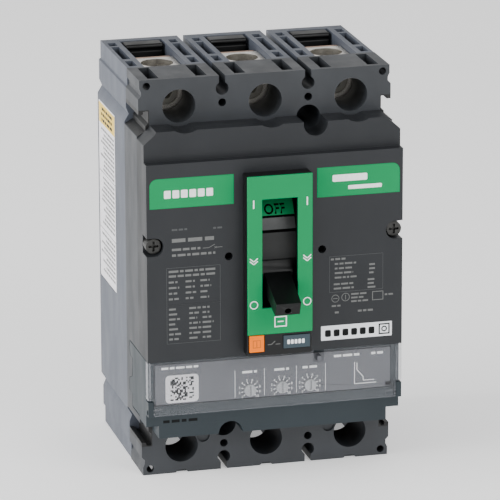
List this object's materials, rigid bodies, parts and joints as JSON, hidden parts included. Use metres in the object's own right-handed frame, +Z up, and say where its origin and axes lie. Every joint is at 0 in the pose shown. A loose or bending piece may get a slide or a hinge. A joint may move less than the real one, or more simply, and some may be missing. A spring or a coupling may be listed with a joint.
{
  "type": "molded case breaker",
  "caption": "Molded case circuit breaker with a toggle handle, box lugs and bolted pads in open bays, and an electronic trip unit behind a hinged clear cover.",
  "frame": {"origin": "centre of the flat back face, midway between the two mounting holes", "axes": "+X to the right seen from the front, +Y into the mounting panel, +Z up towards the line terminals"},
  "size_m": [0.1042, 0.1061, 0.163],
  "materials": {
    "case_grey": "fine moulded texture",
    "cover_charcoal": "fine moulded texture",
    "shell_charcoal": "coarse moulded texture",
    "bezel_black": "fine moulded texture",
    "screw_black": "black oxide",
    "plate_green": "satin",
    "slate_plate": "satin",
    "unit_slate": "fine moulded texture",
    "handle_black": "satin",
    "clear_plastic": "clear",
    "face_grey": "satin",
    "dial_dark": "satin",
    "button_orange": "satin",
    "screw_steel": "zinc plated",
    "lug_aluminium": "extruded",
    "copper": "bare copper",
    "fibre": "fibre cheeks with steel plates",
    "rotor_brown": "moulded",
    "core_dark": "wound core in a moulded case",
    "mechanism_steel": "zinc plated",
    "trip_bar_dark": "moulded",
    "board_green": "circuit board"
  },
  "bodies": {
    "case": {"rear_base": "case_grey", "main_cover": "shell_charcoal", "accessory_cover": "cover_charcoal", "handle_bezel": "bezel_black", "bay_inserts": "bezel_black", "cover_screws": "screw_black", "nameplate_left": "plate_green", "nameplate_right": "plate_green", "escutcheon": "plate_green", "rating_plate": "slate_plate", "trip_unit_housing": "unit_slate", "trip_faceplate": "face_grey", "case_screws": "screw_steel", "line_lug_screws": "screw_steel", "terminal_nuts": "screw_steel", "line_lug_1": "lug_aluminium", "line_lug_2": "lug_aluminium", "line_lug_3": "lug_aluminium", "line_terminal_1": "copper", "line_terminal_2": "copper", "line_terminal_3": "copper", "load_terminal_1": "copper", "load_terminal_2": "copper", "load_terminal_3": "copper", "arc_chutes_1": "fibre", "arc_chutes_2": "fibre", "arc_chutes_3": "fibre", "current_transformer_1": "core_dark", "current_transformer_2": "core_dark", "current_transformer_3": "core_dark", "flux_shifter": "core_dark", "mechanism_side_plates": "mechanism_steel", "circuit_board": "board_green"},
    "handle": {"handle": "handle_black", "handle_yoke": "mechanism_steel", "main_springs": "mechanism_steel"},
    "crossbar": {"contact_rotor_1": "rotor_brown", "contact_rotor_2": "rotor_brown", "contact_rotor_3": "rotor_brown", "moving_contact_1": "copper", "moving_contact_2": "copper", "moving_contact_3": "copper", "crossbar_rods": "mechanism_steel", "drive_pins": "mechanism_steel"},
    "cradle": {"cradle": "mechanism_steel"},
    "upper_links": {"upper_links": "mechanism_steel"},
    "lower_links": {"lower_links": "mechanism_steel"},
    "trip_bar": {"trip_bar": "trip_bar_dark"},
    "clear_cover": {"clear_cover": "clear_plastic"},
    "trip_button": {"trip_button": "button_orange", "trip_button_spring": "mechanism_steel"},
    "flux_plunger": {"flux_plunger": "mechanism_steel"},
    "setting_dial_1": {"setting_dial_1": "dial_dark"},
    "setting_dial_2": {"setting_dial_2": "dial_dark"},
    "setting_dial_3": {"setting_dial_3": "dial_dark"}
  },
  "joints": [
    {"name": "handle_toggle", "type": "hinge", "parent": "case", "child": "handle", "pos_m": [0, -0.058, 0.014], "axis": [-1, 0, 0], "range_deg": [0, 45], "deforming": ["main_springs"]},
    {"name": "crossbar_turn", "type": "hinge", "parent": "case", "child": "crossbar", "pos_m": [0, -0.026, 0], "axis": [1, 0, 0], "range_deg": [0, 36]},
    {"name": "cradle_release", "type": "hinge", "parent": "case", "child": "cradle", "pos_m": [0, -0.044, 0.035], "axis": [-1, 0, 0], "range_deg": [0, 5]},
    {"name": "upper_link_swing", "type": "hinge", "parent": "cradle", "child": "upper_links", "pos_m": [0, -0.0485, 0.028], "axis": [1, 0, 0], "range_deg": [0, 33.84]},
    {"name": "lower_link_swing", "type": "hinge", "parent": "crossbar", "child": "lower_links", "pos_m": [0, -0.03587, 0.00439], "axis": [-1, 0, 0], "range_deg": [0, 72.1]},
    {"name": "trip_bar_turn", "type": "hinge", "parent": "case", "child": "trip_bar", "pos_m": [0, -0.048, -0.014], "axis": [1, 0, 0], "range_deg": [0, 18]},
    {"name": "clear_cover_hinge", "type": "hinge", "parent": "case", "child": "clear_cover", "pos_m": [0, -0.0845, -0.0503], "axis": [1, 0, 0], "range_deg": [0, 100]},
    {"name": "trip_button_push", "type": "slide", "parent": "case", "child": "trip_button", "axis": [0, 1, 0], "range_m": [0, 0.0025], "stiffness_N_per_m": 600, "springref_m": -0.001, "deforming": ["trip_button_spring"]},
    {"name": "flux_plunger_slide", "type": "slide", "parent": "case", "child": "flux_plunger", "axis": [0, 0, 1], "range_m": [0, 0.003], "stiffness_N_per_m": 200, "springref_m": -0.001},
    {"name": "setting_dial_1_turn", "type": "hinge", "parent": "case", "child": "setting_dial_1", "pos_m": [-0.0098, -0.0823, -0.045], "axis": [0, -1, 0], "range_deg": [-135, 135]},
    {"name": "setting_dial_2_turn", "type": "hinge", "parent": "case", "child": "setting_dial_2", "pos_m": [0.0034, -0.0823, -0.0448], "axis": [0, -1, 0], "range_deg": [-135, 135]},
    {"name": "setting_dial_3_turn", "type": "hinge", "parent": "case", "child": "setting_dial_3", "pos_m": [0.015, -0.0823, -0.0448], "axis": [0, -1, 0], "range_deg": [-135, 135]}
  ],
  "couplings": [
    {"joint": "crossbar_turn", "follows": "handle_toggle", "ratio": 0.8},
    {"joint": "upper_link_swing", "follows": "handle_toggle", "ratio": 0.7519},
    {"joint": "lower_link_swing", "follows": "handle_toggle", "ratio": 1.6},
    {"joint": "trip_bar_turn", "follows": "trip_button_push", "rad_per_m": 125}
  ]
}
